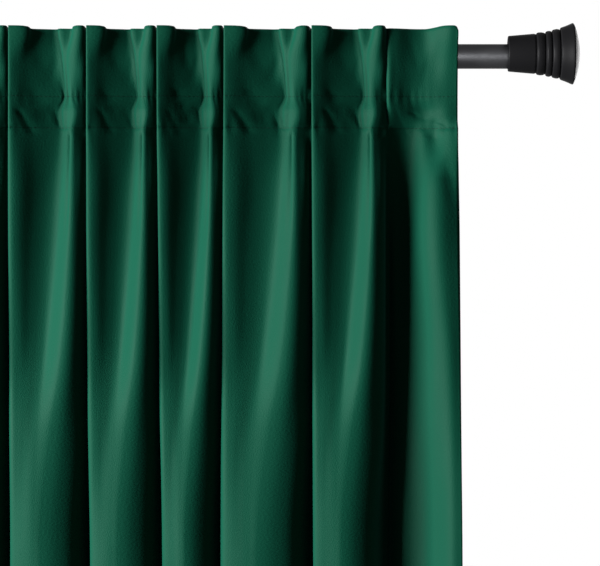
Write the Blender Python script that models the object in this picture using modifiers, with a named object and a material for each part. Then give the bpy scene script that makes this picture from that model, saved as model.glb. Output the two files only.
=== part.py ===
"""Velvet curtain panel hanging in deep folds from a curtain rod with two finials.

Metres. The origin is on the rod's axis at the middle of its length. +X runs along the rod,
+Z is up, and the front of the curtain faces -Y.
"""

import math

import bmesh
import bpy
import numpy as np

COLLECTION_NAME = "velvet_curtain"
CUTTER_COLLECTION_NAME = "cutters"

# Cloth panel
CLOTH_THICKNESS = 0.002

# Where the cloth's edges and folds stand, from left to right, at four heights.
# Each row: left edge of the fold at the top, at knee height of the heading's folds,
# where the folds have opened, and at the hem, then how deep the fold is against the others.
EDGE_HEIGHTS = (0.0286, -0.327, -0.490, -2.4714)
FOLDS = (
    (-0.3300, -0.3310, -0.3315, -0.3380, 1.00),
    (-0.2620, -0.2605, -0.2600, -0.2660, 0.97),
    (-0.1760, -0.1775, -0.1780, -0.1720, 1.03),
    (-0.1005, -0.0990, -0.0980, -0.1010, 0.99),
    (-0.0222, -0.0200, -0.0181, -0.0130, 1.00),
    (0.0486, 0.0518, 0.0548, 0.0600, 1.02),
    (0.1160, 0.1143, 0.1138, 0.1170, 0.96),
    (0.2042, 0.2051, 0.2062, 0.2120, 1.00),
)
LAST_FOLD = (0.2798, 0.2800, 0.2780, 0.2840, 1.00)
RIGHT_EDGE = (0.3502, 0.3525, 0.3546, 0.3600)
LEFT_EDGE = (-0.3500, -0.3515, -0.3525, -0.3580)

# One fold's plan, from its left edge to the next fold's left edge. Each pair is the share of
# the fold's width across and the share of the fold's depth back.
# Columns: left edge, first crest, shoulder, shaded slope, valley, foot of the lit slope,
# main crest, turn, right side, recess, recess turn, return.
# Each row: height, front plane, depth of the fold, then the pairs.
FOLD_PLANS = (
    (0.0286, -0.0375, 0.022, (
        (0.000, 0.035), (0.014, 0.025), (0.235, 0.13), (0.285, 0.72), (0.470, 1.00),
        (0.535, 0.97), (0.892, 0.04), (0.948, 0.11), (0.980, 0.44), (1.010, 0.95),
        (1.250, 0.97), (1.235, 0.74))),
    (-0.010, -0.0375, 0.022, (
        (0.000, 0.035), (0.014, 0.025), (0.110, 0.11), (0.265, 0.44), (0.480, 0.84),
        (0.640, 0.80), (0.805, 0.38), (0.878, 0.32), (0.966, 0.39), (1.005, 0.95),
        (1.320, 0.97), (1.300, 0.80))),
    (-0.042, -0.0380, 0.0225, (
        (0.000, 0.030), (0.014, 0.020), (0.100, 0.11), (0.265, 0.47), (0.600, 0.97),
        (0.695, 1.00), (0.805, 0.70), (0.868, 0.73), (0.940, 0.87), (0.995, 0.97),
        (1.380, 0.98), (1.360, 0.84))),
    (-0.058, -0.0395, 0.0245, (
        (0.000, 0.030), (0.016, 0.020), (0.095, 0.13), (0.260, 0.42), (0.560, 0.90),
        (0.638, 0.97), (0.838, 0.50), (0.893, 0.55), (0.955, 0.70), (0.994, 0.96),
        (1.370, 0.97), (1.350, 0.83))),
    (-0.080, -0.0420, 0.027, (
        (0.000, 0.060), (0.020, 0.030), (0.110, 0.13), (0.310, 0.45), (0.580, 0.80),
        (0.655, 0.83), (0.785, 0.60), (0.858, 0.70), (0.930, 0.86), (0.988, 0.96),
        (1.350, 0.97), (1.330, 0.82))),
    (-0.127, -0.0465, 0.034, (
        (0.000, 0.09), (0.025, 0.05), (0.140, 0.12), (0.340, 0.43), (0.530, 0.58),
        (0.635, 0.55), (0.790, 0.20), (0.865, 0.32), (0.932, 0.60), (0.985, 0.95),
        (1.190, 0.97), (1.170, 0.70))),
    (-0.187, -0.0490, 0.043, (
        (0.000, 0.12), (0.025, 0.08), (0.130, 0.13), (0.290, 0.31), (0.470, 0.42),
        (0.590, 0.39), (0.775, 0.03), (0.860, 0.11), (0.935, 0.42), (0.985, 0.94),
        (1.060, 0.97), (1.055, 0.50))),
    (-0.307, -0.0495, 0.052, (
        (0.000, 0.22), (0.025, 0.18), (0.120, 0.195), (0.240, 0.25), (0.360, 0.29),
        (0.445, 0.28), (0.650, 0.00), (0.800, 0.05), (0.925, 0.36), (0.985, 0.93),
        (1.025, 0.97), (1.025, 0.50))),
    (-0.380, -0.0495, 0.056, (
        (0.000, 0.12), (0.030, 0.06), (0.110, 0.045), (0.190, 0.050), (0.270, 0.053),
        (0.345, 0.042), (0.510, 0.00), (0.700, 0.05), (0.880, 0.26), (0.985, 0.92),
        (1.020, 0.97), (1.015, 0.50))),
    (-0.490, -0.0495, 0.060, (
        (0.000, 0.17), (0.030, 0.11), (0.085, 0.07), (0.155, 0.040), (0.230, 0.017),
        (0.295, 0.005), (0.375, 0.00), (0.570, 0.055), (0.780, 0.23), (0.970, 0.90),
        (1.010, 0.97), (1.005, 0.50))),
    (-2.4714, -0.0495, 0.061, (
        (0.000, 0.17), (0.035, 0.11), (0.090, 0.07), (0.165, 0.038), (0.245, 0.014),
        (0.320, 0.003), (0.420, 0.00), (0.610, 0.06), (0.810, 0.25), (0.970, 0.92),
        (1.010, 0.97), (1.005, 0.50))),
)

# The last section rises from the last fold's recess to the cloth's right edge.
# Each row: height, then pairs as above.
# Columns: recess, first crest, shoulder, hollow, rise, lit slope, crest, edge.
END_PLANS = (
    (0.0286, (
        (0.002, 0.95), (0.014, 0.45), (0.120, 0.47), (0.360, 0.84), (0.550, 0.86),
        (0.730, 0.36), (0.880, 0.05), (1.000, 0.06))),
    (-0.042, (
        (0.002, 0.97), (0.016, 0.50), (0.130, 0.62), (0.300, 0.82), (0.450, 0.90),
        (0.620, 0.86), (0.820, 0.80), (1.000, 0.82))),
    (-0.080, (
        (0.012, 1.00), (0.045, 0.96), (0.160, 0.98), (0.310, 1.20), (0.450, 1.17),
        (0.600, 1.03), (0.780, 0.74), (1.000, 0.46))),
    (-0.127, (
        (0.030, 0.97), (0.090, 0.95), (0.200, 0.96), (0.340, 0.90), (0.480, 0.57),
        (0.600, 0.26), (0.730, 0.13), (1.000, 0.19))),
    (-0.187, (
        (0.040, 0.97), (0.100, 0.92), (0.200, 0.90), (0.330, 0.77), (0.460, 0.40),
        (0.590, 0.12), (0.720, 0.03), (1.000, 0.16))),
    (-0.307, (
        (0.040, 0.97), (0.110, 0.86), (0.210, 0.78), (0.360, 0.65), (0.520, 0.40),
        (0.670, 0.13), (0.830, 0.02), (1.000, 0.07))),
    (-0.490, (
        (0.040, 0.97), (0.110, 0.82), (0.210, 0.73), (0.370, 0.68), (0.520, 0.58),
        (0.680, 0.30), (0.860, 0.04), (1.000, 0.02))),
    (-2.4714, (
        (0.040, 0.97), (0.110, 0.81), (0.210, 0.71), (0.370, 0.68), (0.520, 0.58),
        (0.680, 0.30), (0.860, 0.03), (1.000, 0.03))),
)
# The last fold stops at its recess, this many stations before the end of its plan.
LAST_FOLD_STOPS_BEFORE = 2

# The short section at the left edge, before the first fold, in shares of its own width.
# Columns: edge, crest, turn, side, recess, recess turn, return.
START_PLAN = (
    (0.000, 0.20), (0.300, 0.04), (0.680, 0.20), (0.880, 0.55), (1.040, 0.95), (1.180, 0.97),
    (1.160, 0.62))

# Heights of the panel's rows, closest where the heading is stitched.
ROW_HEIGHTS = (
    0.0286, 0.0095, -0.010, -0.026, -0.042, -0.061, -0.080, -0.103, -0.127, -0.155, -0.187,
    -0.225, -0.266, -0.307, -0.343, -0.380, -0.435, -0.490, -0.800, -1.500, -2.4714)

# Curtain rod and finials
ROD_RADIUS = 0.0125
ROD_SEGMENTS = 40
FINIAL_START_X = 0.4035
FINIAL_RISE = 0.0027
FINIAL_SEGMENTS = 44
SOCKET_DEPTH = 0.030
SEAT_GAP = 0.0003
# Finial from its narrow end to its domed end. Each row: distance along, radius.
FINIAL_PROFILE = (
    (0.0000, 0.0176),
    (0.0006, 0.0182),
    (0.0140, 0.0190),
    (0.0264, 0.0203),
    (0.0282, 0.0197),
    (0.0298, 0.0215),
    (0.0328, 0.0219),
    (0.0360, 0.0214),
    (0.0374, 0.0206),
    (0.0388, 0.0229),
    (0.0410, 0.0234),
    (0.0430, 0.0231),
    (0.0440, 0.0222),
    (0.0450, 0.0241),
    (0.0486, 0.0253),
    (0.0514, 0.0249),
    (0.0524, 0.0241),
    (0.0532, 0.0264),
    (0.0600, 0.0289),
    (0.0650, 0.0312),
    (0.0660, 0.0311),
    (0.0672, 0.0290),
    (0.0700, 0.0200),
    (0.0722, 0.0100),
    (0.0728, 0.0000),
)

# Back tabs
TAB_WIDTH = 0.024
TAB_THICKNESS = 0.0012
TAB_TOP_Z = 0.0240
TAB_LEAVES_CLOTH_Z = 0.0165
TAB_FOOT_Z = -0.0470
TAB_FIRST_ANGLE = 105.0
TAB_LAST_ANGLE = -45.0
TAB_ARC_STEPS = 9

VELVET_COLOR = (0.010, 0.078, 0.048, 1.0)
TAB_COLOR = (0.010, 0.070, 0.044, 1.0)
ROD_COLOR = (0.060, 0.060, 0.064, 1.0)
FINIAL_COLOR = (0.014, 0.014, 0.015, 1.0)


def clear_scene():
    """Remove the objects a new file starts with."""
    for item in list(bpy.data.objects):
        bpy.data.objects.remove(item, do_unlink=True)


def new_collection(name):
    """Add a collection to the scene."""
    collection = bpy.data.collections.new(name)
    bpy.context.scene.collection.children.link(collection)
    return collection


def new_material(name, color, roughness, metallic=0.0):
    """Plain surface of one colour."""
    material = bpy.data.materials.new(name)
    material.use_nodes = True
    shader = material.node_tree.nodes["Principled BSDF"]
    shader.inputs["Base Color"].default_value = color
    shader.inputs["Roughness"].default_value = roughness
    shader.inputs["Metallic"].default_value = metallic
    material.diffuse_color = color
    return material


def place(name, mesh, material, collection):
    """Make an object of a mesh, with its material, in a collection."""
    item = bpy.data.objects.new(name, mesh)
    mesh.materials.append(material)
    collection.objects.link(item)
    return item


def ease(share):
    """Smooth step from 0 to 1."""
    share = min(1.0, max(0.0, share))
    return share * share * (3.0 - 2.0 * share)


def mix(first, second, share):
    """Straight blend of two numbers."""
    return first + (second - first) * share


def slope_at(heights, rows, at):
    """Slope of the smooth curve at one row: flat at the ends and where it turns back."""
    if at in (0, len(heights) - 1):
        return np.zeros(rows[at].shape)
    above = (rows[at] - rows[at - 1]) / (heights[at] - heights[at - 1])
    below = (rows[at + 1] - rows[at]) / (heights[at + 1] - heights[at])
    limit = 3.0 * np.minimum(np.abs(above), np.abs(below))
    slope = np.clip((above + below) / 2, -limit, limit)
    return np.where(above * below > 0, slope, 0.0)


def blend(heights, table, z):
    """Smooth curve through the rows of a table, read at a height."""
    rows = [np.asarray(row, dtype=float) for row in table]
    last = len(heights) - 1
    index = 0
    while index < last - 1 and z < heights[index + 1]:
        index += 1
    run = heights[index + 1] - heights[index]
    share = (z - heights[index]) / run
    rest = 1.0 - share
    upper = rows[index] * (1.0 + 2.0 * share) * rest ** 2
    lower = rows[index + 1] * (3.0 - 2.0 * share) * share ** 2
    upper_pull = slope_at(heights, rows, index) * run * share * rest ** 2
    lower_pull = slope_at(heights, rows, index + 1) * run * rest * share ** 2
    return upper + lower + upper_pull - lower_pull


def edge_at(edges, z):
    """Position across of one fold edge at a height."""
    return float(blend(EDGE_HEIGHTS, edges[:4], z))


def column_at(plans, column, z):
    """One column of a table of plans at a height."""
    heights = [row[0] for row in plans]
    return blend(heights, [row[column] for row in plans], z)


def front_at(depth_share, z):
    """Front plane of a fold, whose valleys in the heading keep to the tabs."""
    in_heading = 1.0 - ease((-0.055 - z) / 0.12)
    front = float(column_at(FOLD_PLANS, 1, z))
    return front + float(column_at(FOLD_PLANS, 2, z)) * (1.0 - depth_share) * in_heading


def cloth_line(z):
    """Plan of the whole cloth at one height, from its left edge to its right edge."""
    plane = float(column_at(FOLD_PLANS, 1, z))
    depth = float(column_at(FOLD_PLANS, 2, z))
    line = []
    start = edge_at(LEFT_EDGE, z)
    first_fold = edge_at(FOLDS[0], z)
    for across, back in START_PLAN:
        line.append((mix(start, first_fold, across), plane + back * depth))
    fold_plan = column_at(FOLD_PLANS, 3, z)
    edges = FOLDS + (LAST_FOLD,)
    for index in range(len(FOLDS)):
        left = edge_at(edges[index], z)
        right = edge_at(edges[index + 1], z)
        share = edges[index][4]
        front = front_at(share, z)
        for across, back in fold_plan:
            line.append((mix(left, right, across), front + back * depth * share))
    line = line[:-LAST_FOLD_STOPS_BEFORE]
    left = edge_at(LAST_FOLD, z)
    right = edge_at(RIGHT_EDGE, z)
    for across, back in column_at(END_PLANS, 1, z):
        line.append((mix(left, right, across), plane + back * depth))
    return line


def with_midpoints(line):
    """Add a point on the smooth curve halfway along the spans on each side of a main crest."""
    start = len(START_PLAN)
    stations = len(FOLD_PLANS[0][-1])
    crest = 6
    result = []
    for index, point in enumerate(line):
        result.append(point)
        in_folds = start <= index < start + stations * len(FOLDS)
        if in_folds and (index - start) % stations in (crest - 1, crest):
            before = line[index - 1]
            after = line[index + 1]
            beyond = line[index + 2]
            half = []
            for axis in (0, 1):
                inner = 9.0 * (point[axis] + after[axis])
                outer = before[axis] + beyond[axis]
                half.append((inner - outer) / 16.0)
            result.append(tuple(half))
    return result


def build_panel(material, collection):
    """Hang the cloth: a surface through its plans at every height, given its thickness."""
    rows = []
    for z in ROW_HEIGHTS:
        rows.append([(x, y, z) for x, y in with_midpoints(cloth_line(z))])
    columns = len(rows[0])
    points = [point for row in rows for point in row]
    faces = []
    for row in range(len(rows) - 1):
        for column in range(columns - 1):
            corner = row * columns + column
            faces.append((corner, corner + columns, corner + columns + 1, corner + 1))
    mesh = bpy.data.meshes.new("curtain_panel")
    mesh.from_pydata(points, [], faces)
    mesh.shade_smooth()
    panel = place("curtain_panel", mesh, material, collection)
    thickness = panel.modifiers.new("cloth_thickness", "SOLIDIFY")
    thickness.thickness = CLOTH_THICKNESS
    thickness.offset = 0.0
    return panel


def tab_path():
    """Middle line of a tab in the plane across the rod, from its top edge to its foot."""
    cloth_back = FOLD_PLANS[0][1] + FOLD_PLANS[0][2] + CLOTH_THICKNESS / 2
    flat = cloth_back + SEAT_GAP + TAB_THICKNESS / 2
    radius = ROD_RADIUS + SEAT_GAP + TAB_THICKNESS / 2
    path = [(flat, TAB_TOP_Z), (flat, TAB_LEAVES_CLOTH_Z)]
    for step in range(TAB_ARC_STEPS + 1):
        angle = mix(TAB_FIRST_ANGLE, TAB_LAST_ANGLE, step / TAB_ARC_STEPS)
        turn = math.radians(angle)
        path.append((radius * math.cos(turn), radius * math.sin(turn)))
    y, z = path[-1]
    path.append((flat, z - (y - flat)))
    path.append((flat, TAB_FOOT_Z))
    return path


def build_tab(name, x, material, collection):
    """Fold a strip over the rod and down to the upper heading seam."""
    path = tab_path()
    points = []
    for y, z in path:
        points.append((x - TAB_WIDTH / 2, y, z))
        points.append((x + TAB_WIDTH / 2, y, z))
    faces = []
    for step in range(len(path) - 1):
        corner = step * 2
        faces.append((corner, corner + 1, corner + 3, corner + 2))
    mesh = bpy.data.meshes.new(name)
    mesh.from_pydata(points, [], faces)
    tab = place(name, mesh, material, collection)
    thickness = tab.modifiers.new("strip_thickness", "SOLIDIFY")
    thickness.thickness = TAB_THICKNESS
    thickness.offset = 0.0
    thickness.use_even_offset = True
    return tab


def valley_positions():
    """Middle of every fold's valley at the height of the rod."""
    edges = FOLDS + (LAST_FOLD,)
    across = column_at(FOLD_PLANS, 3, 0.0)[4][0]
    positions = []
    for index in range(len(FOLDS)):
        positions.append(mix(edge_at(edges[index], 0.0), edge_at(edges[index + 1], 0.0), across))
    return positions


def build_rod(material, collection):
    """Plain round rod that ends inside the finials."""
    half = FINIAL_START_X + SOCKET_DEPTH - SEAT_GAP
    mesh = bpy.data.meshes.new("curtain_rod")
    shape = bmesh.new()
    bmesh.ops.create_cone(
        shape, cap_ends=True, segments=ROD_SEGMENTS, radius1=ROD_RADIUS, radius2=ROD_RADIUS,
        depth=2 * half)
    shape.to_mesh(mesh)
    shape.free()
    for face in mesh.polygons:
        face.use_smooth = len(face.vertices) == 4
    rod = place("curtain_rod", mesh, material, collection)
    rod.rotation_euler = (0.0, math.pi / 2, 0.0)
    return rod


def build_finial(name, side, material, collection, cutters):
    """Turned trumpet with three ribs, bored to take the rod's end."""
    mesh = bpy.data.meshes.new(name)
    points = [(radius, 0.0, -along) for along, radius in FINIAL_PROFILE]
    points.insert(0, (0.0, 0.0, 0.0))
    edges = [(index, index + 1) for index in range(len(points) - 1)]
    mesh.from_pydata(points, edges, [])
    finial = place(name, mesh, material, collection)
    turned = finial.modifiers.new("turned", "SCREW")
    turned.angle = math.tau
    turned.steps = FINIAL_SEGMENTS
    turned.render_steps = FINIAL_SEGMENTS
    turned.use_merge_vertices = True
    turned.merge_threshold = 0.0001
    turned.use_smooth_shade = True
    turned.use_normal_flip = False
    finial.rotation_euler = (0.0, -side * math.pi / 2, 0.0)
    finial.location = (side * FINIAL_START_X, 0.0, FINIAL_RISE)

    bore_mesh = bpy.data.meshes.new(name + "_bore")
    shape = bmesh.new()
    bmesh.ops.create_cone(
        shape, cap_ends=True, segments=ROD_SEGMENTS, radius1=ROD_RADIUS + SEAT_GAP,
        radius2=ROD_RADIUS + SEAT_GAP, depth=2 * SOCKET_DEPTH)
    shape.to_mesh(bore_mesh)
    shape.free()
    bore = bpy.data.objects.new(name + "_bore", bore_mesh)
    cutters.objects.link(bore)
    bore.rotation_euler = (0.0, math.pi / 2, 0.0)
    bore.location = (side * FINIAL_START_X, 0.0, 0.0)
    bore.hide_render = True
    bore.display_type = "WIRE"
    cut = finial.modifiers.new("rod_socket", "BOOLEAN")
    cut.operation = "DIFFERENCE"
    cut.solver = "EXACT"
    cut.object = bore
    return finial


def main():
    """Build every piece of the curtain and its rod."""
    clear_scene()
    collection = new_collection(COLLECTION_NAME)
    cutters = new_collection(CUTTER_COLLECTION_NAME)
    velvet = new_material("velvet", VELVET_COLOR, 0.9)
    tab_cloth = new_material("tab_cloth", TAB_COLOR, 0.9)
    coated_steel = new_material("coated_steel", ROD_COLOR, 0.5)
    black_moulding = new_material("black_moulding", FINIAL_COLOR, 0.55)
    build_panel(velvet, collection)
    for number, x in enumerate(valley_positions(), start=1):
        build_tab(f"back_tab_{number:02d}", x, tab_cloth, collection)
    build_rod(coated_steel, collection)
    build_finial("finial_left", -1.0, black_moulding, collection, cutters)
    build_finial("finial_right", 1.0, black_moulding, collection, cutters)


main()
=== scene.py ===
"""Looks for a velvet curtain panel on its curtain rod: cloth, stitching, coated steel and moulding.

Metres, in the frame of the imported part: +X runs along the rod, +Z is up, and the cloth's front
faces -Y. The origin is on the rod's axis at the middle of its length.
"""

import logging
import math
from dataclasses import dataclass
from enum import Enum
from typing import Sequence

import bpy
import numpy as np
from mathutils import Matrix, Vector


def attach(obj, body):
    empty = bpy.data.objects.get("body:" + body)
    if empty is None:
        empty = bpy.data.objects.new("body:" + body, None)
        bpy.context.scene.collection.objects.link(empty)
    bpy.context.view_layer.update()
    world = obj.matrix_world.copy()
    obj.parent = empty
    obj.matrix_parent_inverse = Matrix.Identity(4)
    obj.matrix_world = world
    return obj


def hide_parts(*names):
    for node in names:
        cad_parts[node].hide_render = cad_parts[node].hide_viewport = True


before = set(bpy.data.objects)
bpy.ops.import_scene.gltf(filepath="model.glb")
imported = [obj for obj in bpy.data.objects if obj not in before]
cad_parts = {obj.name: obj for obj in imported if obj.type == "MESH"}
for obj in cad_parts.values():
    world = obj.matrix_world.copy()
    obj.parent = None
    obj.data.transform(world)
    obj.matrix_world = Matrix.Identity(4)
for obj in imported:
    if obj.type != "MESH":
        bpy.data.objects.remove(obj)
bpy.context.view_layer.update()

LOG = logging.getLogger("curtain")
Pair = tuple[float, float]
Face = tuple[int, int, int, int]
Item = bpy.types.Object
Material = bpy.types.Material
Tree = bpy.types.NodeTree
Node = bpy.types.Node
Socket = bpy.types.NodeSocket


class Slot(Enum):
    """Material slots of the part's record."""

    VELVET = "velvet"
    TAB_CLOTH = "tab_cloth"
    COATED_STEEL = "coated_steel"
    BLACK_MOULDING = "black_moulding"


class Held(Enum):
    """How a sheet of cloth hangs."""

    GATHERED = "gathered"
    FOLDED = "folded"


# Colour and node helpers


def linear(hex_colour: str) -> tuple[float, float, float, float]:
    """Turn an sRGB hex colour into linear values.

    Args:
        hex_colour: a hash mark and six hex digits.

    Returns:
        Linear red, green and blue, and an alpha of 1.
    """
    values = []
    for start in (1, 3, 5):
        value = int(hex_colour[start:start + 2], 16) / 255
        values.append(value / 12.92 if value <= 0.04045 else ((value + 0.055) / 1.055) ** 2.4)
    return values[0], values[1], values[2], 1.0


def add_node(tree: Tree, kind: str, settings: dict | None = None, values: dict | None = None,
             links: dict | None = None) -> Node:
    """Add a shader node with its settings, input values and links.

    Args:
        tree: the node tree it goes into.
        kind: the node's type name.
        settings: attributes of the node.
        values: input socket to constant.
        links: input socket to the output socket that feeds it.

    Returns:
        The new node.
    """
    node = tree.nodes.new(kind)
    for name, value in (settings or {}).items():
        setattr(node, name, value)
    for name, value in (values or {}).items():
        node.inputs[name].default_value = value
    for name, source in (links or {}).items():
        tree.links.new(source, node.inputs[name])
    return node


def new_material(name: str, values: dict) -> tuple[Material, Node]:
    """Make a material with a Principled surface.

    Args:
        name: the material's name.
        values: input socket of the surface to constant.

    Returns:
        The material and its Principled node.
    """
    material = bpy.data.materials.new(name)
    material.use_nodes = True
    surface = material.node_tree.nodes["Principled BSDF"]
    for socket, value in values.items():
        surface.inputs[socket].default_value = value
    return material, surface


def add_noise(tree: Tree, vector: Socket, size_mm: float, detail: float,
              roughness: float) -> Socket:
    """Add a noise pattern.

    Args:
        tree: the node tree it goes into.
        vector: the output socket that places it, in metres.
        size_mm: the size of its spots.
        detail: how many finer layers it has.
        roughness: how strong the finer layers are.

    Returns:
        The pattern's output socket.
    """
    noise = add_node(
        tree, "ShaderNodeTexNoise",
        values={"Scale": 1000 / size_mm, "Detail": detail, "Roughness": roughness},
        links={"Vector": vector})
    return noise.outputs["Fac"]


def vary_roughness(tree: Tree, surface: Node, pattern: Socket, low: float,
                   high: float) -> None:
    """Let a pattern vary the surface's roughness.

    Args:
        tree: the material's node tree.
        surface: its Principled node.
        pattern: the pattern's output socket.
        low: roughness where the pattern is low.
        high: roughness where the pattern is high.
    """
    spread = add_node(
        tree, "ShaderNodeMapRange",
        values={"From Min": 0.3, "From Max": 0.7, "To Min": low, "To Max": high},
        links={"Value": pattern})
    tree.links.new(spread.outputs["Result"], surface.inputs["Roughness"])


def add_bump(tree: Tree, surface: Node, pattern: Socket, strength: float,
             depth_mm: float) -> None:
    """Let a pattern dent the surface.

    Args:
        tree: the material's node tree.
        surface: its Principled node.
        pattern: the pattern's output socket.
        strength: how much of the dents shows.
        depth_mm: how deep the dents are.
    """
    bump = add_node(
        tree, "ShaderNodeBump", values={"Strength": strength, "Distance": depth_mm / 1000},
        links={"Height": pattern})
    tree.links.new(bump.outputs["Normal"], surface.inputs["Normal"])


# Finishes


@dataclass(frozen=True)
class CutPileVelvet:
    """Woven cotton velvet with a short cut pile.

    To the eye: almost black green where it faces the viewer or turns from the light, a pale
    sea-green bloom where the upright pile is seen or lit from the side, slow changes of gloss
    where the pile has been brushed or pressed, and a fine grain from its tufts.
    """

    name: str = "cut_pile_velvet"
    colour: str = "#002A1D"
    bloom: str = "#70FFE2"
    bloom_weight: float = 0.10
    bloom_roughness: float = 0.45
    roughness: float = 0.67
    specular: float = 0.048
    shade_mark_mm: float = 46.0
    mark_height_scale: float = 0.30
    pile_mm: float = 1.7
    pile_bump_mm: float = 0.85
    gloss_change: float = 0.05

    def material(self) -> Material:
        """Build the material.

        Returns:
            The velvet, whose patterns follow the cloth's own length and width in metres.
        """
        material, surface = new_material(self.name, {
            "Base Color": linear(self.colour),
            "Specular IOR Level": self.specular,
            "Sheen Weight": self.bloom_weight,
            "Sheen Roughness": self.bloom_roughness,
            "Sheen Tint": linear(self.bloom),
        })
        tree = material.node_tree
        cloth = add_node(tree, "ShaderNodeTexCoord").outputs["UV"]
        # The marks are drawn out along the height by a scale below 1.
        drawn = add_node(tree, "ShaderNodeMapping", links={"Vector": cloth},
                         values={"Scale": (1.0, self.mark_height_scale, 1.0)})
        marks = add_noise(tree, drawn.outputs["Vector"], self.shade_mark_mm, 4.0, 0.6)
        pile = add_noise(tree, cloth, self.pile_mm, 2.0, 0.6)
        vary_roughness(tree, surface, marks, self.roughness - self.gloss_change,
                       self.roughness + self.gloss_change)
        add_bump(tree, surface, pile, 0.5, self.pile_bump_mm)
        return material


@dataclass(frozen=True)
class PowderCoat:
    """Dark grey textured powder coat on steel tube.

    To the eye: a broad soft grey band along the middle, charcoal above and below, and a fine
    orange-peel grain that breaks the band up.
    """

    name: str = "powder_coated_steel"
    colour: str = "#6C6D70"
    roughness: float = 0.36
    metallic: float = 0.90
    grain_mm: float = 0.8
    grain_bump_mm: float = 0.06

    def material(self) -> Material:
        """Build the material.

        Returns:
            The coated steel.
        """
        material, surface = new_material(self.name, {
            "Base Color": linear(self.colour),
            "Metallic": self.metallic,
        })
        tree = material.node_tree
        place = add_node(tree, "ShaderNodeTexCoord").outputs["Object"]
        grain = add_noise(tree, place, self.grain_mm, 3.0, 0.6)
        vary_roughness(tree, surface, grain, self.roughness - 0.06, self.roughness + 0.08)
        add_bump(tree, surface, grain, 0.6, self.grain_bump_mm)
        return material


@dataclass(frozen=True)
class SatinMoulding:
    """Black moulded plastic with a satin spark-eroded skin.

    To the eye: nearly black, with faint glints on the ribs and a pale rim that the white
    surroundings give its outline.
    """

    name: str = "black_moulded_plastic"
    colour: str = "#0E0E0F"
    roughness: float = 0.42
    specular: float = 0.035
    rim: str = "#F4F4F4"
    rim_weight: float = 0.05
    rim_roughness: float = 0.28
    skin_mm: float = 0.5
    skin_bump_mm: float = 0.006

    def material(self) -> Material:
        """Build the material.

        Returns:
            The moulding.
        """
        material, surface = new_material(self.name, {
            "Base Color": linear(self.colour),
            "Roughness": self.roughness,
            "Specular IOR Level": self.specular,
            "Sheen Weight": self.rim_weight,
            "Sheen Roughness": self.rim_roughness,
            "Sheen Tint": linear(self.rim),
        })
        tree = material.node_tree
        place = add_node(tree, "ShaderNodeTexCoord").outputs["Object"]
        skin = add_noise(tree, place, self.skin_mm, 2.0, 0.5)
        add_bump(tree, surface, skin, 0.5, self.skin_bump_mm)
        return material


@dataclass(frozen=True)
class PolyesterThread:
    """Spun sewing thread in the cloth's colour.

    To the eye: short dark dashes sunk in the pile, a little glossier than the cloth.
    """

    name: str = "polyester_thread"
    colour: str = "#021810"
    roughness: float = 0.7
    specular: float = 0.1

    def material(self) -> Material:
        """Build the thread's material."""
        return new_material(self.name, {
            "Base Color": linear(self.colour),
            "Roughness": self.roughness,
            "Specular IOR Level": self.specular,
        })[0]


# Meshes


def mesh_object(name: str, points: np.ndarray, faces: list, material: Material) -> Item:
    """Make a smooth mesh object and put it in the scene.

    Args:
        name: the piece's name.
        points: one row of three numbers for each vertex.
        faces: vertex indices of each face.
        material: its finish.

    Returns:
        The object.
    """
    mesh = bpy.data.meshes.new(name)
    mesh.from_pydata([tuple(point) for point in points], [], faces)
    mesh.materials.append(material)
    mesh.shade_smooth()
    item = bpy.data.objects.new(name, mesh)
    bpy.context.scene.collection.objects.link(item)
    return item


def grid_faces(rows: int, columns: int) -> list[Face]:
    """List the faces of a grid of points stored row by row.

    Args:
        rows: number of rows of points.
        columns: number of points in a row.

    Returns:
        Four vertex indices for each face.
    """
    faces = []
    for row in range(rows - 1):
        for column in range(columns - 1):
            corner = row * columns + column
            faces.append((corner, corner + columns, corner + columns + 1, corner + 1))
    return faces


def tube_faces(first: int, rings: int, around: int) -> list[Face]:
    """List the faces of a tube of points stored ring by ring.

    Args:
        first: index of its first point.
        rings: number of rings.
        around: number of points in a ring.

    Returns:
        Four vertex indices for each face.
    """
    faces = []
    for ring in range(rings - 1):
        for side in range(around):
            here = first + ring * around + side
            beside = first + ring * around + (side + 1) % around
            faces.append((here, beside, beside + around, here + around))
    return faces


def ease(share: np.ndarray | float) -> np.ndarray:
    """Step smoothly from 0 to 1."""
    share = np.clip(share, 0.0, 1.0)
    return share * share * (3.0 - 2.0 * share)


def bell(distance: np.ndarray, width: float) -> np.ndarray:
    """Give a soft bump of height 1 that falls to about a third at its width."""
    return np.exp(-(distance / width) ** 2)


def along_line(spot: float, runs: np.ndarray, values: np.ndarray) -> np.ndarray:
    """Read values given along a line at one spot of it."""
    return np.array([np.interp(spot, runs, values[:, axis]) for axis in range(3)])


def table_slope(heights: Sequence[float], rows: list[np.ndarray], at: int) -> np.ndarray:
    """Find a table's slope at a row, level at its ends and where its values turn.

    Args:
        heights: the rows' heights.
        rows: the rows' values.
        at: the row's number.

    Returns:
        The slope of each value.
    """
    if at in (0, len(rows) - 1):
        return np.zeros(rows[at].shape)
    above = (rows[at] - rows[at - 1]) / (heights[at] - heights[at - 1])
    below = (rows[at + 1] - rows[at]) / (heights[at + 1] - heights[at])
    limit = 3 * np.minimum(np.abs(above), np.abs(below))
    return np.where(above * below > 0, np.clip((above + below) / 2, -limit, limit), 0.0)


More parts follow.
